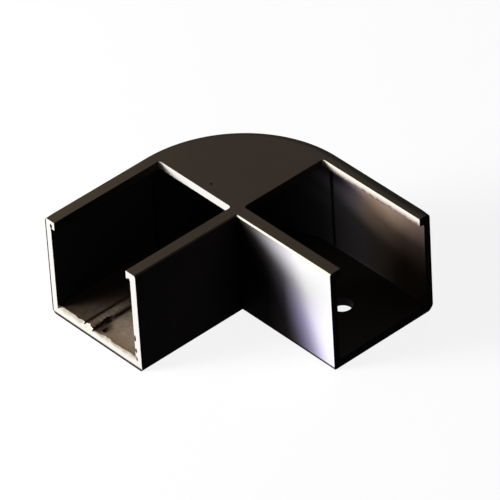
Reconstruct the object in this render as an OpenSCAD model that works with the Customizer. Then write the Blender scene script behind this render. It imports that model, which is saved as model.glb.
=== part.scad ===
// Elbow connector for slotted profile: two open-topped channels joined at a right angle by a covered round corner.
// All sizes in mm, +Z up. The origin is where the two arms' centre lines cross, on the underside.

/* [Channel] */
// width of each arm over its walls
channel_w = 40; // [32:1:60]
// height from the underside to the top
channel_h = 36; // [28:1:60]
// thickness of the upright walls
wall_t = 2.4; // [1.6:0.1:3.2]
// thickness of the floor
floor_t = 3; // [2:0.1:5]
// thickness of the lips and of the plate over the corner
top_t = 2.8; // [2:0.1:5]
// reach of each lip in from the face of its wall
lip_reach = 1.7; // [0.6:0.1:4]
// rounding of the long outer edges
edge_r = 0.7; // [0.4:0.1:1.5]

/* [Arms] */
// length of arm X from the inner corner to its open end
arm_x_len = 40; // [32:1:120]
// length of arm Y from the inner corner to its open end
arm_y_len = 40; // [32:1:120]

/* [Corner] */
// distance of the round wall's centre from the inner corner, towards the outside of the bend
round_in = 0; // [0:1:24]
// how far each slot runs in past the inner corner
slot_past = 1.5; // [0:0.1:3]
// rounding of the closed ends of the slots
slot_r = 1; // [0.4:0.1:2]
// width of the joint line where the round wall meets the straight wall
joint_w = 0.5; // [0.2:0.1:1]
// depth of the joint line into the wall
joint_d = 0.3; // [0.1:0.1:0.8]

/* [Screw holes] */
// diameter of the screw hole in the floor of each arm
screw_d = 6.6; // [3.4:0.1:9]
// distance from the open end of arm X to its screw hole
screw_x_in = 18; // [8:0.5:26]
// distance from the open end of arm Y to its screw hole
screw_y_in = 18; // [8:0.5:26]

/* [Floor seam] */
// width of the raised seam along the floor of arm X
seam_w = 4.4; // [2:0.1:6]
// height of the seam above the floor
seam_h = 0.4; // [0.2:0.1:0.8]
// distance of the seam's middle from the centre line, towards the outer wall
seam_off = 4.1; // [0:0.1:8]

/* [Hidden] */
$fn = 96;
finish_color = "#39302C";
cut_past = 1;
half_w = channel_w / 2;
inner_half = half_w - wall_t;
slot_half = inner_half - lip_reach;
end_x = half_w + arm_x_len;
end_y = half_w + arm_y_len;
corner_r = channel_w - round_in;
bend_at = half_w - round_in;
room_h = channel_h - floor_t - top_t;

// rectangle standing on v = 0 with its corners rounded, from u0 to u1
module rounded_section(u0, u1) {
    translate([u0 + edge_r, 0])
        square([u1 - u0 - 2 * edge_r, channel_h]);
    translate([u0, edge_r])
        square([u1 - u0, channel_h - 2 * edge_r]);
    for (u = [u0 + edge_r, u1 - edge_r])
        for (v = [edge_r, channel_h - edge_r])
            translate([u, v])
                circle(r = edge_r);
}

// outer section of one arm, u across the arm and v up
module arm_section() {
    rounded_section(-half_w, half_w);
}

// the inner half of that section, used where the two arms run into each other
module near_section() {
    intersection() {
        arm_section();
        translate([0, -cut_past])
            square([half_w + cut_past, channel_h + 2 * cut_past]);
    }
}

// sweep of a section along +X from x0 to x1
module along_x(x0, x1) {
    translate([x0, 0, 0])
        rotate([90, 0, 90])
            linear_extrude(height = x1 - x0)
                children();
}

// mirror image in the diagonal, which turns arm X into arm Y
module as_arm_y() {
    mirror([1, -1, 0])
        children();
}

// square pillar at the inner corner
module corner_pillar(size) {
    translate([half_w - size, half_w - size, -cut_past])
        cube([size + cut_past, size + cut_past, channel_h + 2 * cut_past]);
}

// quarter turn of the outer section about the centre of the round wall
module round_corner() {
    difference() {
        translate([bend_at, bend_at, 0])
            rotate([0, 0, 180])
                rotate_extrude(angle = 90)
                    intersection() {
                        rounded_section(-corner_r, corner_r);
                        square([corner_r, channel_h]);
                    }
        corner_pillar(edge_r);
    }
}

// outside of the part before anything is cut away
module outer_block() {
    round_corner();
    along_x(bend_at, end_x)
        arm_section();
    as_arm_y()
        along_x(bend_at, end_y)
            arm_section();
    along_x(half_w - edge_r, half_w)
        near_section();
    as_arm_y()
        along_x(half_w - edge_r, half_w)
            near_section();
}

// plan of the hollow that runs through both arms and the corner
module room_plan() {
    translate([bend_at, -inner_half])
        square([end_x + cut_past - bend_at, 2 * inner_half]);
    translate([-inner_half, bend_at])
        square([2 * inner_half, end_y + cut_past - bend_at]);
    intersection() {
        translate([bend_at, bend_at])
            circle(r = corner_r - wall_t);
        translate([-inner_half, -inner_half])
            square([bend_at + inner_half, bend_at + inner_half]);
    }
}

// hollow between the floor and the top, less the pillar where the inner walls meet
module room() {
    difference() {
        translate([0, 0, floor_t])
            linear_extrude(height = room_h)
                room_plan();
        corner_pillar(wall_t);
    }
}

// slot through the top of an arm along +X, open at the arm's end
module slot(end_at) {
    closed_at = half_w - slot_past;
    translate([0, 0, channel_h - top_t - cut_past])
        linear_extrude(height = top_t + 2 * cut_past) {
            translate([closed_at + slot_r, -slot_half])
                square([end_at + cut_past - closed_at - slot_r, 2 * slot_half]);
            translate([closed_at, slot_r - slot_half])
                square([2 * slot_r, 2 * (slot_half - slot_r)]);
            for (side = [-1, 1])
                translate([closed_at + slot_r, side * (slot_half - slot_r)])
                    circle(r = slot_r);
        }
}

// upright line in the outer wall of an arm, where the straight wall starts
module joint_line() {
    translate([bend_at - joint_w / 2, -inner_half - joint_d, floor_t])
        cube([joint_w, 2 * joint_d, room_h]);
}

// screw hole through the floor, on the centre line of an arm along +X
module screw_hole(at) {
    translate([at, 0, -cut_past])
        cylinder(d = screw_d, h = floor_t + seam_h + 2 * cut_past);
}

// low raised seam along the floor of arm X
module floor_seam() {
    along_x(half_w, end_x)
        translate([-seam_off, floor_t])
            polygon([
                [-seam_w / 2, -seam_h],
                [seam_w / 2, -seam_h],
                [seam_w / 2, 0],
                [seam_w / 2 - seam_h, seam_h],
                [seam_h - seam_w / 2, seam_h],
                [-seam_w / 2, 0]
            ]);
}

module elbow() {
    color(finish_color)
        difference() {
            union() {
                difference() {
                    outer_block();
                    room();
                    slot(end_x);
                    as_arm_y()
                        slot(end_y);
                    joint_line();
                    as_arm_y()
                        joint_line();
                }
                floor_seam();
            }
            screw_hole(end_x - screw_x_in);
            as_arm_y()
                screw_hole(end_y - screw_y_in);
        }
}

elbow();
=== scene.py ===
# Looks of the profile elbow connector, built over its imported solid. The script works in metres, +Z up.
import math

import bmesh
import bpy
from mathutils import Matrix, Vector, noise


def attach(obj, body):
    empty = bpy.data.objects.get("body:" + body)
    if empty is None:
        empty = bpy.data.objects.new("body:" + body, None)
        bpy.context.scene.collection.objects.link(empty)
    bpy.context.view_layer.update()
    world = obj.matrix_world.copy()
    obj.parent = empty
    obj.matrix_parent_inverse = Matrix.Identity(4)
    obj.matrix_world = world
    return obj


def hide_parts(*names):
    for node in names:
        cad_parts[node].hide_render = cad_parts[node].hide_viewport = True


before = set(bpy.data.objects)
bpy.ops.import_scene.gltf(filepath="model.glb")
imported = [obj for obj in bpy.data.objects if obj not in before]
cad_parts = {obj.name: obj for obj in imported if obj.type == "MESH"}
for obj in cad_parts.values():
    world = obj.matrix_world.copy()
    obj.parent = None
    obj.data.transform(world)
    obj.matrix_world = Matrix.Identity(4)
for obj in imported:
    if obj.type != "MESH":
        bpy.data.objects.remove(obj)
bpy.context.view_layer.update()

MM = 0.001

# Sizes in mm, as in the part's source
HALF_W = 20.0
HEIGHT = 36.0
WALL_T = 2.4
FLOOR_T = 3.0
TOP_T = 2.8
LIP_REACH = 1.7
EDGE_R = 0.7
END = 60.0
BEND = 20.0
SLOT_CLOSED = 18.5
SLOT_R = 1.0
JOINT_W = 0.5
JOINT_D = 0.3
SCREW_R = 3.3
SCREW_AT = 42.0
SEAM_MID = -4.1
SEAM_W = 4.4
SEAM_H = 0.4
INNER_HALF = HALF_W - WALL_T
SLOT_HALF = INNER_HALF - LIP_REACH

# Allowances in mm: cutters past a face and clear of one, what counts as no length, and welding
PAST = 1.0
CLEAR = 0.02
NEARLY = 0.01
WELD = 0.0005
CLEAN_WELD = 0.004
OPEN_WELD = 0.1

# Rounding in mm that only the looks have, and the angle and length from which an edge is broken
ROOM_R = 0.5
JOINT_R = 0.2
EDGE_BREAK = 0.14
BREAK_ANGLE = math.radians(50)
BREAK_LENGTH = 0.3
SMOOTH_ANGLE = math.radians(35)

# Rounding in mm of the outer corners of the arms' ends, its run along the arm, and how it fades out
TOP_KNOCK_X = 1.1
TOP_KNOCK_Y = 1.4
FOOT_KNOCK_X = 2.0
FOOT_KNOCK_Y = 3.0
KNOCK_RUN = 4.3
KNOCK_FADE = 0.32

# Facets of curves
TURN_STEPS = 60
KNOCK_STEPS = 10
EDGE_STEPS = 8
ROOM_STEPS = 4
JOINT_STEPS = 3
BREAK_STEPS = 2
HOLE_STEPS = 72

# Weld bead on the floor of arm X: grid, edge shape, level, ripples and roughness, in mm
BEAD_GRID = (150, 14)
BEAD_CROWN = 3.2
BEAD_LEVEL = 0.86
BEAD_DEPTH = 0.8
RIPPLE_H = 0.045
RIPPLE_PITCH = 1.6
RIPPLE_BOW = 0.9
BEAD_ROUGH = 0.05
BEAD_GRAIN = (0.9, 1.3, 4.0)

# Undercut grooves beside the bead: radius, height over the floor, wander and dip, in mm, and facets
GROOVE_R = 0.45
GROOVE_END = END + 0.7 * PAST
GROOVE_LIFT = 0.22
GROOVE_WANDER, WANDER_PER_MM = 0.22, 0.33
GROOVE_DIP, DIP_PER_MM = 0.14, 0.47
GROOVE_SIDES, GROOVE_RINGS = 10, 50
GROOVE_PHASES = (1.0, 5.0)

# Burnt gouge at the end of the bead, in mm: where it runs, how it swells and wanders, and facets
GOUGE_R = 0.8
GOUGE_START = 50.6
GOUGE_SIDE = -2.2
GOUGE_LIFT = 0.3
GOUGE_FLATNESS = 0.7
GOUGE_SWELL = 0.95
GOUGE_DRIFT = 0.2
GOUGE_UNEVEN, UNEVEN_RUN = 0.4, (0.8, 3.1, 0.4)
GOUGE_WANDER, WANDER_RUN = 0.45, (0.9, 8.2, 1.7)
GOUGE_SIDES, GOUGE_RINGS = 12, 26
# Share of its width that the gouge starts with, and how fast it reaches the rest
GOUGE_TIP, GOUGE_OPENS = 0.25, 4
# Place, height and width of the two pools along the gouge
GOUGE_POOLS = ((53.2, 1.0, 1.3), (58.3, 0.15, 0.9))

# Depth in mm of the torn edge along the floor of arm X's open end, at each place across it
TORN_EDGE = (
    (-17.6, 0.55), (-16.0, 0.8), (-13.5, 0.75), (-11.0, 0.85), (-9.6, 0.5), (-8.6, 0.75), (-7.4, 0.95),
    (-6.2, 0.6), (-5.2, 0.9), (-4.6, 1.15), (-4.0, 0.5), (-2.6, 0.25), (-1.4, 0.08), (0.0, 0.1),
    (1.2, 0.2), (2.3, 0.7), (3.4, 0.6), (4.6, 0.75), (5.8, 0.3), (7.4, 0.2), (9.0, 0.45), (10.6, 0.35),
    (12.2, 0.6), (14.0, 0.7), (15.8, 0.5), (17.6, 0.4))
# How far in the tear starts beyond its depth, how steeply it drops, and the sweep of its cutter, in mm
TORN_IN = 0.6
TORN_DROP = 0.55
TORN_SKIN = 0.05
TORN_SWEEP = (0.8, 0, 1.6)

# Gouge beside the seam, notches in the sawn end, pit in the plate: centre and half size in mm
GOUGES = (((56.8, 0.6, 3.05), (1.5, 0.9, 0.45)),)
NOTCHES = (
    ((60.1, 17.95, 11.7), (0.5, 0.4, 1.2)), ((60.1, 18.0, 7.0), (0.5, 0.45, 0.9)),
    ((60.1, 18.0, 3.9), (0.5, 0.5, 0.8)), ((60.1, -17.4, 34.0), (0.5, 0.55, 1.0)),
    ((60.1, 16.9, 33.3), (0.5, 0.6, 0.5)))
PITS = (((15.1, 3.6, 36.05), (0.6, 0.5, 0.4)),)
# Chips under the lip of arm Y's outer wall, left by the cutting of its slot
LIP_CHIPS = (
    ((-15.9, 26.1, 33.1), (0.5, 1.0, 0.4)), ((-15.9, 33.4, 33.1), (0.5, 1.6, 0.5)),
    ((-15.9, 37.9, 33.1), (0.5, 0.6, 0.6)), ((-15.9, 46.8, 33.1), (0.5, 1.2, 0.4)),
    ((-15.9, 55.2, 33.1), (0.5, 0.7, 0.4)))
# Raggedness of the lumps and of the gouge, its fineness, and the first seed of each group of lumps
RAGGED = 0.35
LUMP_GRAIN = 1.7
GOUGE_GRAIN = 1.6
GOUGE_SEED, NOTCH_SEED, CHIP_SEED, PIT_SEED = 0, 1, 20, 31

# Places of the finishes in the piece's material list
COAT, SAWN, INSIDE, RAW, SCORCH = range(5)


def linear(hex_colour):
    """Linear RGBA of an sRGB hex colour."""
    parts = [int(hex_colour[i:i + 2], 16) / 255 for i in (1, 3, 5)]
    return [c / 12.92 if c <= 0.04045 else ((c + 0.055) / 1.055) ** 2.4 for c in parts] + [1.0]


def add(tree, kind, inputs=None, **settings):
    """Adds a node, with its settings, and sets or links its inputs."""
    made = tree.nodes.new(kind)
    for name, value in settings.items():
        setattr(made, name, value)
    for socket, value in (inputs or {}).items():
        if isinstance(value, bpy.types.NodeSocket):
            tree.links.new(value, made.inputs[socket])
        else:
            made.inputs[socket].default_value = value
    return made


# Meshes, carved in mm and turned into metres at the end


def mesh_object(name, bm, materials):
    """Object at the origin that holds a mesh and lists its materials."""
    mesh = bpy.data.meshes.new(name)
    bm.to_mesh(mesh)
    bm.free()
    for material in materials:
        mesh.materials.append(material)
    obj = bpy.data.objects.new(name, mesh)
    bpy.context.scene.collection.objects.link(obj)
    return obj


def arc_face(first, centre, axis, steps, corners):
    """Flat face inside a quarter turn from a first point and straight lines through some corners."""
    bm = bmesh.new()
    start = bm.verts.new(first)
    turn = bmesh.ops.spin(bm, geom=[start], cent=centre, axis=axis, angle=-math.pi / 2, steps=steps)
    chain = [v for v in turn["geom_last"] if isinstance(v, bmesh.types.BMVert)]
    for corner in corners:
        chain.append(bm.verts.new(corner))
        bm.edges.new(chain[-2:])
    bm.edges.new((chain[-1], start))
    bmesh.ops.contextual_create(bm, geom=bm.edges[:])
    return bm


def elbow_plan(half, end, z):
    """Flat plan of the elbow at one height: two arms and the quarter turn between them, as one face."""
    corners = ((-half, end), (half, end), (half, half), (end, half), (end, -half))
    return arc_face(
        (BEND, -half, z), (BEND, BEND, z), (0, 0, 1), TURN_STEPS, [(x, y, z) for x, y in corners])


def swept(bm, move):
    """Makes a closed solid of an open sheet by sweeping a copy of it along a vector."""
    copy = bmesh.ops.extrude_face_region(bm, geom=bm.faces[:], use_keep_orig=True)
    verts = [g for g in copy["geom"] if isinstance(g, bmesh.types.BMVert)]
    bmesh.ops.translate(bm, vec=move, verts=verts)
    bmesh.ops.recalc_face_normals(bm, faces=bm.faces[:])
    return bm


def rounded(bm, edges, radius, segments):
    """Rounds or breaks some edges of a mesh."""
    return bmesh.ops.bevel(
        bm, geom=edges, offset=radius, offset_type="OFFSET", affect="EDGES",
        segments=segments, profile=0.5, material=-1, clamp_overlap=True)


def box(low, high):
    """Closed box between two corners in mm."""
    bm = bmesh.new()
    bmesh.ops.create_cube(bm, size=1)
    bmesh.ops.scale(bm, vec=Vector(high) - Vector(low), verts=bm.verts[:])
    bmesh.ops.translate(bm, vec=(Vector(low) + Vector(high)) / 2, verts=bm.verts[:])
    return bm


def rod(start, end, y, z, radius, sides, rings):
    """Rod along +X with rings close enough together to be bent and swelled."""
    bm = bmesh.new()
    length = end - start
    lie = Matrix.Translation((start + length / 2, y, z)) @ Matrix.Rotation(math.pi / 2, 4, "Y")
    bmesh.ops.create_cone(
        bm, cap_ends=True, segments=sides, radius1=radius, radius2=radius, depth=length, matrix=lie)
    lengthwise = [e for e in bm.edges if abs(e.verts[0].co.x - e.verts[1].co.x) > NEARLY]
    bmesh.ops.subdivide_edges(bm, edges=lengthwise, cuts=rings)
    return bm


def upright(edge):
    """Whether an edge climbs."""
    return abs(edge.verts[0].co.z - edge.verts[1].co.z) > NEARLY


def as_arm_y(bm):
    """Mirrors a mesh in the diagonal, which turns what is made for arm X into arm Y's."""
    swap = Matrix(((0, 1, 0, 0), (1, 0, 0, 0), (0, 0, 1, 0), (0, 0, 0, 1)))
    bmesh.ops.transform(bm, matrix=swap, verts=bm.verts[:])
    bmesh.ops.recalc_face_normals(bm, faces=bm.faces[:])
    return bm


def painted(bm, finish):
    """Gives every face of a mesh one finish."""
    for face in bm.faces:
        face.material_index = finish
    return bm


def long_edges(bm, end):
    """Edges that run along the arms and round the corner, without those of the ends."""
    def across(edge):
        return any(all(abs(v.co[axis] - end) < NEARLY for v in edge.verts) for axis in (0, 1))
    return [e for e in bm.edges if not upright(e) and not across(e)]


def outer_block():
    """Outside of the elbow, with its long edges rounded, a little too long at both ends."""
    bm = swept(elbow_plan(HALF_W, END + PAST, 0), (0, 0, HEIGHT))
    rounded(bm, long_edges(bm, END + PAST), EDGE_R, EDGE_STEPS)
    return painted(bm, COAT)


def room():
    """Hollow through both arms and the corner, with the small inside rounding of a formed channel."""
    past_end = END + 2 * PAST
    bm = swept(elbow_plan(INNER_HALF, past_end, FLOOR_T), (0, 0, HEIGHT - FLOOR_T - TOP_T))
    rounded(bm, long_edges(bm, past_end), ROOM_R, ROOM_STEPS)
    painted(bm, INSIDE)
    for face in bm.faces:
        if face.calc_center_median().z < FLOOR_T + ROOM_R / 4:
            face.material_index = RAW
    return bm


def sawn_lit_faces(bm):
    """Leaves bare sawn metal where a slot's cut faces look along +X, towards the lamps, and dark enamel
    as painted shade on the others.
    """
    bm.normal_update()
    for face in bm.faces:
        face.material_index = SAWN if face.normal.x < -0.5 else COAT
    return bm


def slot():
    """Slot through the top of arm X, with rounded corners at its closed end."""
    low = (SLOT_CLOSED, -SLOT_HALF, HEIGHT - TOP_T - PAST)
    bm = box(low, (END + 2 * PAST, SLOT_HALF, HEIGHT + PAST))
    closed = [e for e in bm.edges if upright(e) and e.verts[0].co.x < BEND]
    rounded(bm, closed, SLOT_R, EDGE_STEPS)
    return bm


def joint_line():
    """Upright groove in the outer wall of arm X where the straight wall meets the round one."""
    low = (BEND - JOINT_W / 2, -INNER_HALF - JOINT_D, FLOOR_T + CLEAR)
    high = (BEND + JOINT_W / 2, -INNER_HALF + JOINT_D, HEIGHT - TOP_T - CLEAR)
    bm = box(low, high)
    bottom = [e for e in bm.edges if upright(e) and e.verts[0].co.y < -INNER_HALF]
    rounded(bm, bottom, JOINT_R, JOINT_STEPS)
    return painted(bm, INSIDE)


def screw_hole():
    """Cutter for the screw hole in the floor of arm X."""
    bm = bmesh.new()
    depth = FLOOR_T + SEAM_H + 2 * PAST
    bmesh.ops.create_cone(
        bm, cap_ends=True, segments=HOLE_STEPS, radius1=SCREW_R, radius2=SCREW_R, depth=depth,
        matrix=Matrix.Translation((SCREW_AT, 0, depth / 2 - PAST)))
    return painted(bm, RAW)


def bead_height(x, y):
    """Height in mm of the weld bead over the floor: a flat crown with ripples and a little roughness."""
    across = (y - SEAM_MID) / (SEAM_W / 2)
    crown = (1 - abs(across) ** BEAD_CROWN) * SEAM_H
    ripple = RIPPLE_H * math.sin((x + RIPPLE_BOW * across * across) * 2 * math.pi / RIPPLE_PITCH)
    along, over, row = BEAD_GRAIN
    rough = BEAD_ROUGH * noise.noise((x * along, y * over, row))
    return min(SEAM_H, max(0.0, crown * (BEAD_LEVEL + ripple + rough)))


def seam_bead():
    """Flat weld bead along the floor of arm X, crowned, with the ripples of its run."""
    bm = bmesh.new()
    length = END + PAST / 2 - BEND
    bmesh.ops.create_grid(bm, x_segments=BEAD_GRID[0], y_segments=BEAD_GRID[1], size=0.5)
    bmesh.ops.scale(bm, vec=(length, SEAM_W, 1), verts=bm.verts[:])
    bmesh.ops.translate(bm, vec=(BEND + length / 2, SEAM_MID, 0), verts=bm.verts[:])
    for v in bm.verts:
        v.co.z = FLOOR_T + bead_height(v.co.x, v.co.y)
    down = bmesh.ops.extrude_face_region(bm, geom=bm.faces[:], use_keep_orig=True)
    for v in down["geom"]:
        if isinstance(v, bmesh.types.BMVert):
            v.co.z = FLOOR_T - BEAD_DEPTH
    bmesh.ops.recalc_face_normals(bm, faces=bm.faces[:])
    return painted(bm, RAW)


def waver(x, run):
    """Smooth random value at a place along a run, which is a rate per mm and a line through the noise."""
    rate, row, layer = run
    return noise.noise((x * rate, row, layer))


def undercut(y, phase):
    """Shallow wandering groove that the weld leaves along one side of its bead."""
    bm = rod(BEND, GROOVE_END, y, FLOOR_T + GROOVE_LIFT, GROOVE_R, GROOVE_SIDES, GROOVE_RINGS)
    for v in bm.verts:
        x = v.co.x
        v.co.y += GROOVE_WANDER * waver(x, (WANDER_PER_MM, phase, 0))
        v.co.z += GROOVE_DIP * waver(x, (DIP_PER_MM, phase, 7))
    bmesh.ops.recalc_face_normals(bm, faces=bm.faces[:])
    return painted(bm, SCORCH)


def saw_cut():
    """Cutter that trims arm X to length and leaves its end sawn."""
    low = (END, -HALF_W - PAST, -PAST)
    return painted(box(low, (END + 4 * PAST, HALF_W + PAST, HEIGHT + PAST)), SAWN)


def knocked_corner(radius, bottom):
    """Cutter that rounds off the outer top or bottom corner of arm X's end, and fades out along it."""
    x, y, z = END + PAST, -HALF_W, HEIGHT
    corners = ((x, y + radius, z + PAST), (x, y - PAST, z + PAST), (x, y - PAST, z - radius))
    centre = (x, y + radius, z - radius)
    bm = arc_face((x, y, z - radius), centre, (1, 0, 0), KNOCK_STEPS, corners)
    leave = (radius - EDGE_R) * KNOCK_FADE
    swept(bm, (-KNOCK_RUN, -leave, leave))
    if bottom:
        flip = Matrix.Translation((0, 0, HEIGHT)) @ Matrix.Scale(-1, 4, (0, 0, 1))
        bmesh.ops.transform(bm, matrix=flip, verts=bm.verts[:])
        bmesh.ops.recalc_face_normals(bm, faces=bm.faces[:])
    return painted(bm, COAT)


def torn_edge():
    """Cutter that leaves the ragged bright edge along the floor at the sawn end of arm X."""
    bm = bmesh.new()
    steps = len(TORN_EDGE) - 1
    bmesh.ops.create_grid(bm, x_segments=1, y_segments=steps, size=0.5)
    for v in bm.verts:
        y, depth = TORN_EDGE[round((v.co.y + 0.5) * steps)]
        if v.co.x < 0:
            v.co = (END - depth - TORN_IN, y, FLOOR_T + CLEAR)
        else:
            v.co = (END + TORN_SKIN, y, FLOOR_T - TORN_DROP * depth - TORN_SKIN)
    return painted(swept(bm, TORN_SWEEP), SAWN)


def lump(at, size, seed, finish):
    """Small ragged lump, used to chip an edge or to gouge or pit a face."""
    bm = bmesh.new()
    bmesh.ops.create_icosphere(bm, subdivisions=2, radius=1)
    shift = Vector((seed, 2.3 * seed, 0.7))
    for v in bm.verts:
        v.co *= 1 + RAGGED * noise.noise(v.co * LUMP_GRAIN + shift)
        v.co = Vector([at[i] + v.co[i] * size[i] for i in range(3)])
    bmesh.ops.recalc_face_normals(bm, faces=bm.faces[:])
    return painted(bm, finish)


def lumps(places, first_seed, finish):
    """One lump at each of some places, each with a seed of its own."""
    return [lump(at, size, first_seed + i, finish) for i, (at, size) in enumerate(places)]


def burnt_gouge():
    """Ragged furrow burnt into the floor where the weld ran out at the end of arm X."""
    length = END + PAST - GOUGE_START
    bm = rod(GOUGE_START, END + PAST, 0, 0, GOUGE_R, GOUGE_SIDES, GOUGE_RINGS)
    for v in bm.verts:
        x, along = v.co.x, (v.co.x - GOUGE_START) / length
        pools = sum(height * math.exp(-((x - at) / width) ** 2) for at, height, width in GOUGE_POOLS)
        uneven = GOUGE_UNEVEN * waver(x, UNEVEN_RUN)
        wander = GOUGE_WANDER * waver(x, WANDER_RUN)
        swell = (GOUGE_SWELL + pools + uneven) * min(1, GOUGE_TIP + GOUGE_OPENS * along)
        side = GOUGE_SIDE + GOUGE_DRIFT * along + wander
        ragged = 1 + RAGGED * noise.noise(v.co * GOUGE_GRAIN)
        v.co.y = side + v.co.y * swell * ragged
        v.co.z = FLOOR_T + GOUGE_LIFT + v.co.z * swell * ragged * GOUGE_FLATNESS
    bmesh.ops.recalc_face_normals(bm, faces=bm.faces[:])
    return painted(bm, SCORCH)


def carve(body, tool_mesh, operation):
    """Joins a tool to the body, or cuts it out, and keeps the tool's finish on the new faces."""
    tool = mesh_object("tool", tool_mesh, finishes)
    step = body.modifiers.new("carve", "BOOLEAN")
    step.object = tool
    step.operation = operation
    step.solver = "EXACT"
    step.material_mode = "INDEX"
    shaped = bpy.data.meshes.new_from_object(body.evaluated_get(bpy.context.evaluated_depsgraph_get()))
    body.modifiers.clear()
    merged = bmesh.new()
    merged.from_mesh(shaped)
    bmesh.ops.remove_doubles(merged, verts=merged.verts[:], dist=WELD)
    bmesh.ops.dissolve_degenerate(merged, edges=merged.edges[:], dist=WELD)
    merged.to_mesh(shaped)
    merged.free()
    old = body.data
    body.data = shaped
    bpy.data.meshes.remove(old)
    used = tool.data
    bpy.data.objects.remove(tool)
    bpy.data.meshes.remove(used)


def break_edges(body):
    """Takes the razor edge off cut edges, as deburring and the coat do, and turns mm into metres."""
    bm = bmesh.new()
    bm.from_mesh(body.data)
    bmesh.ops.remove_doubles(bm, verts=bm.verts[:], dist=CLEAN_WELD)
    bmesh.ops.dissolve_degenerate(bm, edges=bm.edges[:], dist=CLEAN_WELD)
    bmesh.ops.remove_doubles(bm, verts=[v for v in bm.verts if v.is_boundary], dist=OPEN_WELD)
    sharp = [
        e for e in bm.edges if len(e.link_faces) == 2 and e.is_convex
        and e.calc_face_angle(0) > BREAK_ANGLE and e.calc_length() > BREAK_LENGTH]
    rounded(bm, sharp, EDGE_BREAK, BREAK_STEPS)
    bmesh.ops.scale(bm, vec=(MM, MM, MM), verts=bm.verts[:])
    bm.to_mesh(body.data)
    bm.free()


def cuts_clear_of_the_end():
    """Cutters that stay clear of arm X's end."""
    return [
        # Arm Y's sawn end is given dark enamel instead of sawn metal, as painted shade.
        screw_hole(), as_arm_y(screw_hole()), painted(as_arm_y(saw_cut()), COAT),
        as_arm_y(knocked_corner(TOP_KNOCK_Y, False)), as_arm_y(knocked_corner(FOOT_KNOCK_Y, True)),
        *lumps(LIP_CHIPS, CHIP_SEED, INSIDE), *lumps(PITS, PIT_SEED, COAT),
        *lumps(GOUGES, GOUGE_SEED, SCORCH)]


def cuts_at_the_end():
    """Cutters that shape and damage arm X's end."""
    return [
        saw_cut(), torn_edge(), burnt_gouge(), knocked_corner(TOP_KNOCK_X, False),
        knocked_corner(FOOT_KNOCK_X, True), *lumps(NOTCHES, NOTCH_SEED, SCORCH)]


def make_elbow():
    """The whole elbow as one piece, carved from its outer block."""
    body = mesh_object("elbow_body", outer_block(), finishes)
    for tool in (room(), sawn_lit_faces(slot()), sawn_lit_faces(as_arm_y(slot())), joint_line(), as_arm_y(joint_line())):
        carve(body, tool, "DIFFERENCE")
    carve(body, seam_bead(), "UNION")
    sides = (SEAM_MID - SEAM_W / 2, SEAM_MID + SEAM_W / 2)
    grooves = [undercut(y, phase) for y, phase in zip(sides, GROOVE_PHASES)]
    # The solver is only reliable while the body's outermost face is plain, so arm X's end comes last
    for tool in grooves + cuts_clear_of_the_end() + cuts_at_the_end():
        carve(body, tool, "DIFFERENCE")
    break_edges(body)
    body.data.shade_smooth()
    body.data.set_sharp_from_angle(angle=SMOOTH_ANGLE)
    shading = body.modifiers.new("flat_faces", "WEIGHTED_NORMAL")
    shading.keep_sharp = True
    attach(body, "root")
    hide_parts("elbow")
    return body


# Finishes


def new_material(name):
    """Empty material, its node tree, and the place on the piece in metres."""
    material = bpy.data.materials.new(name)
    material.use_nodes = True
    tree = material.node_tree
    tree.nodes.clear()
    place = add(tree, "ShaderNodeTexCoord").outputs["Object"]
    return material, tree, place


def close_material(tree, **inputs):
    """Ends a material with its surface shader."""
    shader = add(tree, "ShaderNodeBsdfPrincipled", inputs)
    add(tree, "ShaderNodeOutputMaterial", {"Surface": shader.outputs["BSDF"]})


def enamel_top(tree, place, spot, clouds):
    """Flat enamel: a little cloudy, paler towards arm X's end, and painted shade, near black, round the
    outer rim.
    """
    lean = add(tree, "ShaderNodeMath", {
        0: spot.outputs["Y"], 1: spot.outputs["X"]}, operation="SUBTRACT")
    cloudy = add(tree, "ShaderNodeMix", {
        "Factor": clouds.outputs["Fac"], "A": linear("#40362E"), "B": linear("#494036")},
        data_type="RGBA")
    paler = add(tree, "ShaderNodeMapRange", {
        "Value": lean.outputs[0], "From Min": -20 * MM, "From Max": -60 * MM})
    tone = add(tree, "ShaderNodeMix", {
        "Factor": paler.outputs["Result"], "A": cloudy.outputs["Result"], "B": linear("#514639")},
        data_type="RGBA")
    # Painted shade: the top goes near black within about 2 mm of the outer wall, where its edge turns
    # away from the lamps.
    from_turn = add(tree, "ShaderNodeVectorMath", {
        0: place, 1: (BEND * MM, BEND * MM, 0)}, operation="SUBTRACT")
    in_plan = add(tree, "ShaderNodeVectorMath", {
        0: from_turn.outputs[0], 1: (1.0, 1.0, 0.0)}, operation="MULTIPLY")
    outward = add(tree, "ShaderNodeVectorMath", {
        0: in_plan.outputs[0], 1: (0.0, 0.0, 0.0)}, operation="MINIMUM")
    radius = add(tree, "ShaderNodeVectorMath", {0: outward.outputs[0]}, operation="LENGTH")
    leaned = add(tree, "ShaderNodeMath", {
        0: lean.outputs[0], 1: 0.02, 2: radius.outputs["Value"]}, operation="MULTIPLY_ADD")
    rim = add(tree, "ShaderNodeMapRange", {
        "Value": leaned.outputs[0], "From Min": 37.8 * MM, "From Max": 40.2 * MM},
        interpolation_type="SMOOTHSTEP")
    rim_shaded = add(tree, "ShaderNodeMix", {
        "Factor": rim.outputs["Result"], "A": tone.outputs["Result"], "B": linear("#181410")},
        data_type="RGBA")
    return rim_shaded.outputs["Result"]


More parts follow.
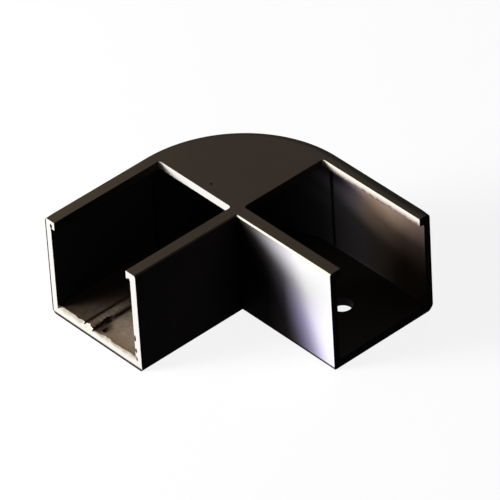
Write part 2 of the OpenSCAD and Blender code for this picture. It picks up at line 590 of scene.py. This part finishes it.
def enamel_wall(tree, place, above_foot_shade):
    """Upright enamel: faint upright streaks, and a dark line of painted shade along the foot."""
    stretched = add(tree, "ShaderNodeMapping", {"Vector": place, "Scale": (1.0, 1.0, 0.04)})
    # Real streaks are finer, and are drawn 0.9 mm wide so that they show
    streaks = add(tree, "ShaderNodeTexNoise", {
        "Vector": stretched.outputs["Vector"], "Scale": 1 / (0.9 * MM), "Detail": 3.0})
    streaked = add(tree, "ShaderNodeMix", {
        "Factor": streaks.outputs["Fac"], "A": linear("#383332"), "B": linear("#3E3938")},
        data_type="RGBA")
    # Painted shade: near black up to about 1 mm above the floor, for the shaded bottom edge.
    foot_shaded = add(tree, "ShaderNodeMix", {
        "Factor": above_foot_shade, "A": linear("#0E0B0A"), "B": streaked.outputs["Result"]},
        data_type="RGBA")
    return foot_shaded.outputs["Result"]


def painted_sheen_tone(tree, spot):
    """Painted highlight for arm Y's inner wall: pale grey, lavender low down, and palest by arm Y's end.
    """
    higher = add(tree, "ShaderNodeMapRange", {
        "Value": spot.outputs["Z"], "From Min": 10 * MM, "From Max": 28 * MM},
        interpolation_type="SMOOTHSTEP")
    further_in = add(tree, "ShaderNodeMix", {
        "Factor": higher.outputs["Result"], "A": linear("#C8C1EB"), "B": linear("#C7C5CB")},
        data_type="RGBA")
    by_end = add(tree, "ShaderNodeMix", {
        "Factor": higher.outputs["Result"], "A": linear("#E7E2F7"), "B": linear("#D0CFCF")},
        data_type="RGBA")
    towards_end = add(tree, "ShaderNodeMath", {
        0: spot.outputs["Z"], 1: 0.3, 2: spot.outputs["Y"]}, operation="MULTIPLY_ADD")
    near_end = add(tree, "ShaderNodeMapRange", {
        "Value": towards_end.outputs[0], "From Min": 50 * MM, "From Max": 57 * MM},
        interpolation_type="SMOOTHSTEP")
    sheen_painted = add(tree, "ShaderNodeMix", {
        "Factor": near_end.outputs["Result"], "A": further_in.outputs["Result"],
        "B": by_end.outputs["Result"]}, data_type="RGBA")
    return sheen_painted.outputs["Result"]


def painted_sheen_share(tree, spot, inner_wall, above_foot_shade):
    """How much of arm Y's inner wall takes the painted highlight, which grows towards its end and its
    top.
    """
    sheen_reach = add(tree, "ShaderNodeMath", {
        0: spot.outputs["Z"], 1: 0.5, 2: spot.outputs["Y"]}, operation="MULTIPLY_ADD")
    sheen_ramp = add(tree, "ShaderNodeMapRange", {
        "Value": sheen_reach.outputs[0], "From Min": 41 * MM, "From Max": 64 * MM},
        interpolation_type="SMOOTHSTEP")
    on_wall = add(tree, "ShaderNodeMath", {
        0: sheen_ramp.outputs["Result"], 1: inner_wall}, operation="MULTIPLY")
    # This share of the painted highlight stays off the painted foot shade.
    bare = add(tree, "ShaderNodeMath", {0: on_wall.outputs[0], 1: above_foot_shade}, operation="MULTIPLY")
    return bare.outputs[0]


def painted_edge_highlight(tree, spot, normal, inner_wall):
    """Where a highlight is painted along the rounded upper edge of arm Y's inner wall."""
    shoulder = add(tree, "ShaderNodeMath", {
        0: normal.outputs["Z"], 1: 0.55, 2: 0.35}, operation="COMPARE")
    at_wall = add(tree, "ShaderNodeMath", {
        0: spot.outputs["X"], 1: 18 * MM}, operation="GREATER_THAN")
    on_edge = add(tree, "ShaderNodeMath", {
        0: shoulder.outputs[0], 1: inner_wall}, operation="MULTIPLY")
    edge_highlight = add(tree, "ShaderNodeMath", {
        0: on_edge.outputs[0], 1: at_wall.outputs[0]}, operation="MULTIPLY")
    return edge_highlight.outputs[0]


def satin_enamel():
    """Stove enamel on steel: brown-black and satin, with painted highlights on one wall and its edge, and
    painted shade along the foot and round the outer rim.
    """
    material, tree, place = new_material("satin_stove_enamel")
    spot = add(tree, "ShaderNodeSeparateXYZ", {0: place})
    facing = add(tree, "ShaderNodeTexCoord")
    normal = add(tree, "ShaderNodeSeparateXYZ", {0: facing.outputs["Normal"]})
    clouds = add(tree, "ShaderNodeTexNoise", {
        "Vector": place, "Scale": 1 / (22 * MM), "Detail": 4.0})
    inner_wall = add(tree, "ShaderNodeMapRange", {
        "Value": normal.outputs["X"], "From Min": 0.15, "From Max": 0.4}).outputs["Result"]
    # Painted shade at the foot: 0 below 0.9 mm, 1 above 1.4 mm.
    above_foot_shade = add(tree, "ShaderNodeMapRange", {
        "Value": spot.outputs["Z"], "From Min": 0.9 * MM, "From Max": 1.4 * MM}).outputs["Result"]
    # Painted highlight: pale metal colour on arm Y's inner wall, growing towards its end and top, added
    # to the lamps' own light.
    wall = add(tree, "ShaderNodeMix", {
        "Factor": painted_sheen_share(tree, spot, inner_wall, above_foot_shade),
        "A": enamel_wall(tree, place, above_foot_shade), "B": painted_sheen_tone(tree, spot)}, data_type="RGBA")
    level = add(tree, "ShaderNodeMath", {0: normal.outputs["Z"]}, operation="ABSOLUTE")
    flat = add(tree, "ShaderNodeMapRange", {
        "Value": level.outputs[0], "From Min": 0.1, "From Max": 0.5}, interpolation_type="SMOOTHSTEP")
    covered = add(tree, "ShaderNodeMix", {
        "Factor": flat.outputs["Result"], "A": wall.outputs["Result"],
        "B": enamel_top(tree, place, spot, clouds)}, data_type="RGBA")
    # Painted highlight: a pale cream line along the rounded upper edge of arm Y's inner wall.
    tone = add(tree, "ShaderNodeMix", {
        "Factor": painted_edge_highlight(tree, spot, normal, inner_wall), "A": covered.outputs["Result"],
        "B": linear("#E8E0CC")}, data_type="RGBA")
    sheen = add(tree, "ShaderNodeMapRange", {
        "Value": clouds.outputs["Fac"], "To Min": 0.42, "To Max": 0.52})
    gloss = add(tree, "ShaderNodeMapRange", {
        "Value": flat.outputs["Result"], "To Min": 0.004, "To Max": 0.04})
    peel = add(tree, "ShaderNodeTexNoise", {
        "Vector": place, "Scale": 1 / (0.9 * MM), "Detail": 2.0})
    relief = add(tree, "ShaderNodeBump", {
        "Height": peel.outputs["Fac"], "Strength": 0.12, "Distance": 0.05 * MM})
    close_material(tree, **{
        "Base Color": tone.outputs["Result"], "Roughness": sheen.outputs["Result"],
        "Normal": relief.outputs["Normal"], "Specular IOR Level": gloss.outputs["Result"]})
    return material


def sawn_face(tree, spot, marks):
    """Sawn metal: pale grey, with a thin dark border of painted shade along the bottom edge and the outer
    wall's edge.
    """
    bright = add(tree, "ShaderNodeMix", {
        "Factor": marks.outputs["Fac"], "A": linear("#C0BDB8"), "B": linear("#C8C5C0")},
        data_type="RGBA")
    # Painted shade: a dark border within about 1 mm of the floor and half a millimetre of the outer wall.
    across = add(tree, "ShaderNodeMath", {
        0: spot.outputs["X"], 1: spot.outputs["Y"]}, operation="MINIMUM")
    inward = add(tree, "ShaderNodeMath", {0: across.outputs[0], 1: HALF_W * MM}, operation="ADD")
    upward = add(tree, "ShaderNodeMath", {0: spot.outputs["Z"], 1: 0.5}, operation="MULTIPLY")
    border = add(tree, "ShaderNodeMath", {
        0: upward.outputs[0], 1: inward.outputs[0]}, operation="MINIMUM")
    clean_and_unshaded = add(tree, "ShaderNodeMapRange", {
        "Value": border.outputs[0], "From Min": 0.35 * MM, "From Max": 0.6 * MM})
    bordered = add(tree, "ShaderNodeMix", {
        "Factor": clean_and_unshaded.outputs["Result"], "A": linear("#181514"), "B": bright.outputs["Result"]},
        data_type="RGBA")
    return bordered.outputs["Result"]


def chipped_lip(tree, spot, flakes):
    """Lip of arm Y: bare and brighter towards the top, with enamel left in a ragged band below."""
    upper = add(tree, "ShaderNodeMapRange", {
        "Value": spot.outputs["Z"], "From Min": 33.8 * MM, "From Max": 35.2 * MM})
    bare = add(tree, "ShaderNodeMix", {
        "Factor": upper.outputs["Result"], "A": linear("#9C928F"), "B": linear("#D8CFC4")},
        data_type="RGBA")
    ragged = add(tree, "ShaderNodeMath", {
        0: flakes.outputs["Fac"], 1: -2.0 * MM, 2: spot.outputs["Z"]}, operation="MULTIPLY_ADD")
    chipped = add(tree, "ShaderNodeMapRange", {
        "Value": ragged.outputs[0], "From Min": 32.5 * MM, "From Max": 33.1 * MM})
    lip = add(tree, "ShaderNodeMix", {
        "Factor": chipped.outputs["Result"], "A": linear("#6A5B54"), "B": bare.outputs["Result"]},
        data_type="RGBA")
    return lip.outputs["Result"]


def torn_share(tree, spot):
    """Where the torn edge slopes up to the floor."""
    facing = add(tree, "ShaderNodeTexCoord")
    normal = add(tree, "ShaderNodeSeparateXYZ", {0: facing.outputs["Normal"]})
    sloping = add(tree, "ShaderNodeMath", {0: normal.outputs["Z"], 1: 0.3}, operation="GREATER_THAN")
    by_floor = add(tree, "ShaderNodeMath", {
        0: spot.outputs["Z"], 1: (FLOOR_T + SEAM_H) * MM}, operation="LESS_THAN")
    torn = add(tree, "ShaderNodeMath", {
        0: sloping.outputs[0], 1: by_floor.outputs[0]}, operation="MULTIPLY")
    return torn.outputs[0]


def sawn_steel():
    """Sawn mild steel, dulled: pale grey with tooth marks, and painted light on the torn slope, a paler
    tone with yellow flecks.
    """
    material, tree, place = new_material("sawn_mild_steel")
    spot = add(tree, "ShaderNodeSeparateXYZ", {0: place})
    flakes = add(tree, "ShaderNodeTexNoise", {
        "Vector": place, "Scale": 1 / (1.6 * MM), "Detail": 3.0})
    # Diagonal waves repeat at 0.44 of this length across a face, which puts the marks 1 mm apart
    marks = add(tree, "ShaderNodeTexWave", {
        "Vector": place, "Scale": 1 / (2.2 * MM), "Distortion": 1.2, "Detail": 3.0,
        "Detail Scale": 2.0}, bands_direction="DIAGONAL")
    off_lip = add(tree, "ShaderNodeMath", {
        0: spot.outputs["X"], 1: -10 * MM}, operation="GREATER_THAN")
    cut = add(tree, "ShaderNodeMix", {
        "Factor": off_lip.outputs[0], "A": chipped_lip(tree, spot, flakes),
        "B": sawn_face(tree, spot, marks)}, data_type="RGBA")
    specks = add(tree, "ShaderNodeMapRange", {
        "Value": flakes.outputs["Fac"], "From Min": 0.4, "From Max": 0.65, "To Max": 0.5})
    # Painted light: the upward-facing torn slope is made paler so that it shows as bright as the lit end
    # face.
    lit_slope_tone = add(tree, "ShaderNodeMix", {
        "Factor": specks.outputs["Result"], "A": linear("#F0ECE2"), "B": linear("#E0C487")},
        data_type="RGBA")
    tone = add(tree, "ShaderNodeMix", {
        "Factor": torn_share(tree, spot), "A": cut.outputs["Result"], "B": lit_slope_tone.outputs["Result"]},
        data_type="RGBA")
    relief = add(tree, "ShaderNodeBump", {
        "Height": marks.outputs["Fac"], "Strength": 0.12, "Distance": 0.05 * MM})
    close_material(tree, **{
        "Base Color": tone.outputs["Result"], "Roughness": 0.55, "Normal": relief.outputs["Normal"],
        "Specular IOR Level": 0.03})
    return material


def painted_light_coat(tree, reach, cloud_noise):
    """Painted light for the inside walls: lavender grey by the corner, then a cloudy brown that fades out
    towards arm Y's end.
    """
    brown = add(tree, "ShaderNodeMix", {
        "Factor": cloud_noise.outputs["Fac"], "A": linear("#79675B"), "B": linear("#9C8571")},
        data_type="RGBA")
    fade_to_end = add(tree, "ShaderNodeMapRange", {
        "Value": reach, "From Min": 42 * MM, "From Max": 60 * MM}, interpolation_type="SMOOTHSTEP")
    fading = add(tree, "ShaderNodeMix", {
        "Factor": fade_to_end.outputs["Result"], "A": brown.outputs["Result"], "B": linear("#574843")},
        data_type="RGBA")
    outward = add(tree, "ShaderNodeMapRange", {
        "Value": reach, "From Min": 24 * MM, "From Max": 38 * MM}, interpolation_type="SMOOTHSTEP")
    lit_tone = add(tree, "ShaderNodeMix", {
        "Factor": outward.outputs["Result"], "A": linear("#827A88"), "B": fading.outputs["Result"]},
        data_type="RGBA")
    return lit_tone.outputs["Result"]


def painted_light_share(tree, spot, reach, towards_y):
    """Where light is painted on the inside walls: the upper walls of arm Y, and further down nearer its
    end.
    """
    light_at = add(tree, "ShaderNodeMath", {
        0: reach, 1: 0.3, 2: spot.outputs["Z"]}, operation="MULTIPLY_ADD")
    light_ramp = add(tree, "ShaderNodeMapRange", {
        "Value": light_at.outputs[0], "From Min": 27 * MM, "From Max": 43 * MM},
        interpolation_type="SMOOTHSTEP")
    in_arm_y = add(tree, "ShaderNodeMapRange", {
        "Value": towards_y, "From Max": 20 * MM}, interpolation_type="SMOOTHSTEP")
    lit_in_arm_y = add(tree, "ShaderNodeMath", {
        0: light_ramp.outputs["Result"], 1: in_arm_y.outputs["Result"]}, operation="MULTIPLY")
    return lit_in_arm_y.outputs[0]


def joint_tint(tree, reach):
    """Where heat tint lies, on both sides of the upright joint lines."""
    offset = add(tree, "ShaderNodeMath", {0: reach, 1: BEND * MM}, operation="SUBTRACT")
    apart = add(tree, "ShaderNodeMath", {0: offset.outputs[0]}, operation="ABSOLUTE")
    burnt = add(tree, "ShaderNodeMapRange", {
        "Value": apart.outputs[0], "From Min": 1.1 * MM, "From Max": 0.3 * MM},
        interpolation_type="SMOOTHSTEP")
    return burnt.outputs["Result"]


def inside_enamel():
    """Inside walls: a thin coat of the same enamel, near black, with painted light on the upper walls of
    arm Y and paler towards its end.
    """
    material, tree, place = new_material("thin_inside_enamel")
    spot = add(tree, "ShaderNodeSeparateXYZ", {0: place})
    cloud_noise = add(tree, "ShaderNodeTexNoise", {
        "Vector": place, "Scale": 1 / (9 * MM), "Detail": 5.0, "Roughness": 0.6})
    reach = add(tree, "ShaderNodeMath", {
        0: spot.outputs["X"], 1: spot.outputs["Y"]}, operation="MAXIMUM").outputs[0]
    towards_y = add(tree, "ShaderNodeMath", {
        0: spot.outputs["Y"], 1: spot.outputs["X"]}, operation="SUBTRACT").outputs[0]
    # Painted light: the near-black walls get paler towards arm Y's end.
    by_end = add(tree, "ShaderNodeMapRange", {
        "Value": towards_y, "From Min": 50 * MM, "From Max": 74 * MM}, interpolation_type="SMOOTHSTEP")
    dark = add(tree, "ShaderNodeMix", {
        "Factor": by_end.outputs["Result"], "A": linear("#1D1B1B"), "B": linear("#43372E")},
        data_type="RGBA")
    # Painted light: lit tones on arm Y's upper inside walls, where the lamps' light falls over the lip.
    with_painted_light = add(tree, "ShaderNodeMix", {
        "Factor": painted_light_share(tree, spot, reach, towards_y), "A": dark.outputs["Result"],
        "B": painted_light_coat(tree, reach, cloud_noise)}, data_type="RGBA")
    tone = add(tree, "ShaderNodeMix", {
        "Factor": joint_tint(tree, reach), "A": with_painted_light.outputs["Result"], "B": linear("#080605")},
        data_type="RGBA")
    relief = add(tree, "ShaderNodeBump", {
        "Height": cloud_noise.outputs["Fac"], "Strength": 0.2, "Distance": 0.1 * MM})
    close_material(tree, **{
        "Base Color": tone.outputs["Result"], "Roughness": 0.6, "Normal": relief.outputs["Normal"],
        "Specular IOR Level": 0.04})
    return material


def bare_share(tree, spot, mottle, in_arm_x):
    """Where arm X's floor is bare: grime lies thickest by the outer wall and far in from the end."""
    across = add(tree, "ShaderNodeMath", {
        0: spot.outputs["X"], 1: spot.outputs["Y"]}, operation="MINIMUM")
    reach = add(tree, "ShaderNodeMath", {
        0: spot.outputs["X"], 1: spot.outputs["Y"]}, operation="MAXIMUM")
    clear = add(tree, "ShaderNodeMath", {
        0: reach.outputs[0], 1: 0.6, 2: across.outputs[0]}, operation="MULTIPLY_ADD")
    patchy = add(tree, "ShaderNodeMath", {
        0: mottle.outputs["Fac"], 1: 6 * MM, 2: clear.outputs[0]}, operation="MULTIPLY_ADD")
    clean_and_unshaded = add(tree, "ShaderNodeMapRange", {
        "Value": patchy.outputs[0], "From Min": 20 * MM, "From Max": 46 * MM},
        interpolation_type="SMOOTHSTEP")
    laid_bare = add(tree, "ShaderNodeMath", {
        0: clean_and_unshaded.outputs["Result"], 1: in_arm_x}, operation="MULTIPLY")
    return laid_bare.outputs[0]


def bare_floor(tree, spot, mottle):
    """Bare mill steel: mottled, with a brown film of rust towards the sawn end."""
    bare = add(tree, "ShaderNodeMix", {
        "Factor": mottle.outputs["Fac"], "A": linear("#706154"), "B": linear("#D4BFA8")},
        data_type="RGBA")
    by_end = add(tree, "ShaderNodeMapRange", {
        "Value": spot.outputs["X"], "From Min": 52 * MM, "From Max": 60 * MM, "To Max": 0.7})
    rusty = add(tree, "ShaderNodeMix", {
        "Factor": by_end.outputs["Result"], "A": bare.outputs["Result"], "B": linear("#745435")},
        data_type="RGBA")
    return rusty.outputs["Result"]


def weld_soot(tree, place, spot, mottle):
    """Where soot lies: along the outer side of the weld in arm X and round the gouge at its end."""
    strip = add(tree, "ShaderNodeMath", {0: spot.outputs["Y"], 1: 8.3 * MM}, operation="ADD")
    aside = add(tree, "ShaderNodeMath", {0: strip.outputs[0]}, operation="ABSOLUTE")
    smoked = add(tree, "ShaderNodeMapRange", {
        "Value": aside.outputs[0], "From Min": 3.2 * MM, "From Max": 0.8 * MM, "To Max": 0.3},
        interpolation_type="SMOOTHSTEP")
    from_gouge = add(tree, "ShaderNodeVectorMath", {
        0: place, 1: (56.4 * MM, -0.8 * MM, FLOOR_T * MM)}, operation="DISTANCE")
    blurred = add(tree, "ShaderNodeMath", {
        0: mottle.outputs["Fac"], 1: 2 * MM, 2: from_gouge.outputs["Value"]}, operation="MULTIPLY_ADD")
    scorched = add(tree, "ShaderNodeMapRange", {
        "Value": blurred.outputs[0], "From Min": 4.6 * MM, "From Max": 2.4 * MM, "To Max": 0.8},
        interpolation_type="SMOOTHSTEP")
    soot = add(tree, "ShaderNodeMath", {
        0: smoked.outputs["Result"], 1: scorched.outputs["Result"]}, operation="MAXIMUM")
    return soot.outputs[0]


def weld_tint(tree, spot, mottle):
    """Where heat tint lies, along both sides of the weld in arm X."""
    offset = add(tree, "ShaderNodeMath", {
        0: spot.outputs["Y"], 1: SEAM_MID * MM}, operation="SUBTRACT")
    beside = add(tree, "ShaderNodeMath", {0: offset.outputs[0]}, operation="ABSOLUTE")
    apart = add(tree, "ShaderNodeMath", {
        0: beside.outputs[0], 1: SEAM_W / 2 * MM}, operation="SUBTRACT")
    near = add(tree, "ShaderNodeMath", {0: apart.outputs[0]}, operation="ABSOLUTE")
    ragged = add(tree, "ShaderNodeMath", {
        0: mottle.outputs["Fac"], 1: -0.8 * MM, 2: near.outputs[0]}, operation="MULTIPLY_ADD")
    burnt = add(tree, "ShaderNodeMapRange", {
        "Value": ragged.outputs[0], "From Min": 1.2 * MM, "From Max": -0.2 * MM, "To Max": 0.9},
        interpolation_type="SMOOTHSTEP")
    return burnt.outputs["Result"]


def raw_steel():
    """Stained mill steel of the floor: mottled, grimy by the outer wall and burnt beside the weld."""
    material, tree, place = new_material("stained_mill_steel")
    spot = add(tree, "ShaderNodeSeparateXYZ", {0: place})
    mottle = add(tree, "ShaderNodeTexNoise", {
        "Vector": place, "Scale": 1 / (2.5 * MM), "Detail": 6.0, "Roughness": 0.7})
    towards_x = add(tree, "ShaderNodeMath", {
        0: spot.outputs["X"], 1: spot.outputs["Y"]}, operation="SUBTRACT")
    in_arm_x = add(tree, "ShaderNodeMapRange", {
        "Value": towards_x.outputs[0], "From Max": 12 * MM},
        interpolation_type="SMOOTHSTEP").outputs["Result"]
    grime = add(tree, "ShaderNodeMix", {
        "Factor": in_arm_x, "A": linear("#15110F"), "B": linear("#332A23")}, data_type="RGBA")
    soiled = add(tree, "ShaderNodeMix", {
        "Factor": bare_share(tree, spot, mottle, in_arm_x), "A": grime.outputs["Result"],
        "B": bare_floor(tree, spot, mottle)}, data_type="RGBA")
    sooty = add(tree, "ShaderNodeMix", {
        "Factor": weld_soot(tree, place, spot, mottle), "A": soiled.outputs["Result"],
        "B": linear("#31241A")}, data_type="RGBA")
    tone = add(tree, "ShaderNodeMix", {
        "Factor": weld_tint(tree, spot, mottle), "A": sooty.outputs["Result"],
        "B": linear("#211A15")}, data_type="RGBA")
    relief = add(tree, "ShaderNodeBump", {
        "Height": mottle.outputs["Fac"], "Strength": 0.3, "Distance": 0.1 * MM})
    close_material(tree, **{
        "Base Color": tone.outputs["Result"], "Roughness": 0.6, "Normal": relief.outputs["Normal"],
        "Specular IOR Level": 0.05})
    return material


def weld_scale():
    """Burnt weld scale in the grooves and gouges: dull and near black, brown where it has rusted."""
    material, tree, place = new_material("weld_scale")
    # Real scale is finer, and is drawn in grains of 0.8 mm so that it shows
    crust = add(tree, "ShaderNodeTexNoise", {
        "Vector": place, "Scale": 1 / (0.8 * MM), "Detail": 5.0, "Roughness": 0.65})
    tone = add(tree, "ShaderNodeMix", {
        "Factor": crust.outputs["Fac"], "A": linear("#241E1A"), "B": linear("#4A352A")},
        data_type="RGBA")
    relief = add(tree, "ShaderNodeBump", {
        "Height": crust.outputs["Fac"], "Strength": 0.5, "Distance": 0.1 * MM})
    close_material(tree, **{
        "Base Color": tone.outputs["Result"], "Roughness": 0.85, "Normal": relief.outputs["Normal"],
        "Specular IOR Level": 0.1})
    return material


finishes = [satin_enamel(), sawn_steel(), inside_enamel(), raw_steel(), weld_scale()]


# Studio, in metres, watts and degrees

AIM = Vector((10, 10, 18)) * MM
WHITE = "#FFFFFF"
FLOOR_HALF = 4.0
FLOOR_GAP = 0.05 * MM
FLOOR_GLOW = 0.88
FLOOR_COLOUR = "#7C7C7C"
FLOOR_BOUNCE = "#1E1E1E"
WORLD_FILL = 0.0072
KEY_BEARING = -33


def seen_rays(tree):
    """1 for rays from the camera, straight, reflected or through glass, and 0 for stray light."""
    path = add(tree, "ShaderNodeLightPath")
    seen = add(tree, "ShaderNodeMath", {
        0: path.outputs["Is Camera Ray"], 1: path.outputs["Is Glossy Ray"]}, operation="MAXIMUM")
    seen = add(tree, "ShaderNodeMath", {
        0: seen.outputs[0], 1: path.outputs["Is Transmission Ray"]}, operation="MAXIMUM")
    return seen.outputs[0]


def white_sweep():
    """White paper sweep: white to the camera and in reflections, and it takes the elbow's shadow."""
    material, tree, _ = new_material("white_sweep")
    seen = seen_rays(tree)
    glow = add(tree, "ShaderNodeMath", {0: seen, 1: FLOOR_GLOW}, operation="MULTIPLY")
    white = add(tree, "ShaderNodeEmission", {"Color": linear(WHITE), "Strength": glow.outputs[0]})
    shade = add(tree, "ShaderNodeMix", {
        "Factor": seen, "A": linear(FLOOR_BOUNCE), "B": linear(FLOOR_COLOUR)}, data_type="RGBA")
    lit = add(tree, "ShaderNodeBsdfDiffuse", {"Color": shade.outputs["Result"]})
    both = add(tree, "ShaderNodeAddShader", {0: white.outputs[0], 1: lit.outputs[0]})
    add(tree, "ShaderNodeOutputMaterial", {"Surface": both.outputs[0]})
    return material


def pale_floor():
    """Floor just under the elbow."""
    bm = bmesh.new()
    bmesh.ops.create_grid(bm, x_segments=1, y_segments=1, size=FLOOR_HALF)
    bmesh.ops.translate(bm, vec=(0, 0, -FLOOR_GAP), verts=bm.verts[:])
    floor = mesh_object("floor", bm, [white_sweep()])


def white_world():
    """White to the camera and in reflections, and a low even fill for everything else."""
    world = bpy.data.worlds.new("studio")
    bpy.context.scene.world = world
    world.use_nodes = True
    tree = world.node_tree
    tree.nodes.clear()
    level = add(tree, "ShaderNodeMapRange", {
        "Value": seen_rays(tree), "To Min": WORLD_FILL, "To Max": 1.0})
    sky = add(tree, "ShaderNodeBackground", {
        "Color": linear(WHITE), "Strength": level.outputs["Result"]})
    add(tree, "ShaderNodeOutputWorld", {"Surface": sky.outputs[0]})


def softbox(name, bearing, rise, distance, width, height, watts):
    """Soft white lamp aimed at the elbow: bearing from +X towards +Y, and rise above the floor."""
    a, e = math.radians(bearing), math.radians(rise)
    away = Vector((math.cos(a) * math.cos(e), math.sin(a) * math.cos(e), math.sin(e)))
    lamp = bpy.data.lights.new(name, "AREA")
    lamp.shape = "RECTANGLE"
    lamp.size = width
    lamp.size_y = height
    lamp.energy = watts
    lamp.color = linear(WHITE)[:3]
    holder = bpy.data.objects.new(name, lamp)
    holder.location = AIM + away * distance
    holder.rotation_euler = away.to_track_quat("Z", "Y").to_euler()
    holder.visible_camera = False
    bpy.context.scene.collection.objects.link(holder)
    return holder


def studio_lights():
    """Low softbox from the photograph's left, a wide weak one round it, and a fill for the far side."""
    softbox("key", KEY_BEARING, rise=12, distance=1.0, width=0.32, height=0.22, watts=14.8)
    softbox("key_wide", KEY_BEARING, rise=17, distance=1.0, width=0.6, height=0.5, watts=6.4)
    back = softbox("back_fill", -135, rise=10, distance=1.2, width=0.8, height=0.3, watts=2)
    back.visible_glossy = False


# Camera fitted to the photograph: degrees, metres, and millimetres for the lens and its sensor
CAMERA_AZIMUTH = 139.798
CAMERA_ELEVATION = 38.579
CAMERA_ROLL = -3.551
CAMERA_DISTANCE = 1.7764
CAMERA_LENS = 430.75
CAMERA_SENSOR = 36
CAMERA_NEAR = 0.01
AIM_RIGHT = -0.00239
AIM_UP = 0.00499


def photo_camera():
    """Camera at the photograph's viewing angle."""
    a, e, r = (math.radians(v) for v in (CAMERA_AZIMUTH, CAMERA_ELEVATION, CAMERA_ROLL))
    back = Vector((math.sin(a) * math.cos(e), -math.cos(a) * math.cos(e), math.sin(e)))
    right = Vector((math.cos(a), math.sin(a), 0))
    up = back.cross(right)
    rolled_right = right * math.cos(r) + up * math.sin(r)
    rolled_up = up * math.cos(r) - right * math.sin(r)
    lens = bpy.data.cameras.new("camera")
    lens.sensor_width = CAMERA_SENSOR
    lens.lens = CAMERA_LENS
    lens.clip_start = CAMERA_NEAR
    camera = bpy.data.objects.new("camera", lens)
    camera.matrix_world = Matrix((rolled_right, rolled_up, back)).transposed().to_4x4()
    camera.location = AIM + back * CAMERA_DISTANCE - rolled_right * AIM_RIGHT - rolled_up * AIM_UP
    bpy.context.scene.collection.objects.link(camera)
    bpy.context.scene.camera = camera


bpy.context.scene.view_settings.view_transform = "Standard"
make_elbow()
pale_floor()
white_world()
studio_lights()
photo_camera()
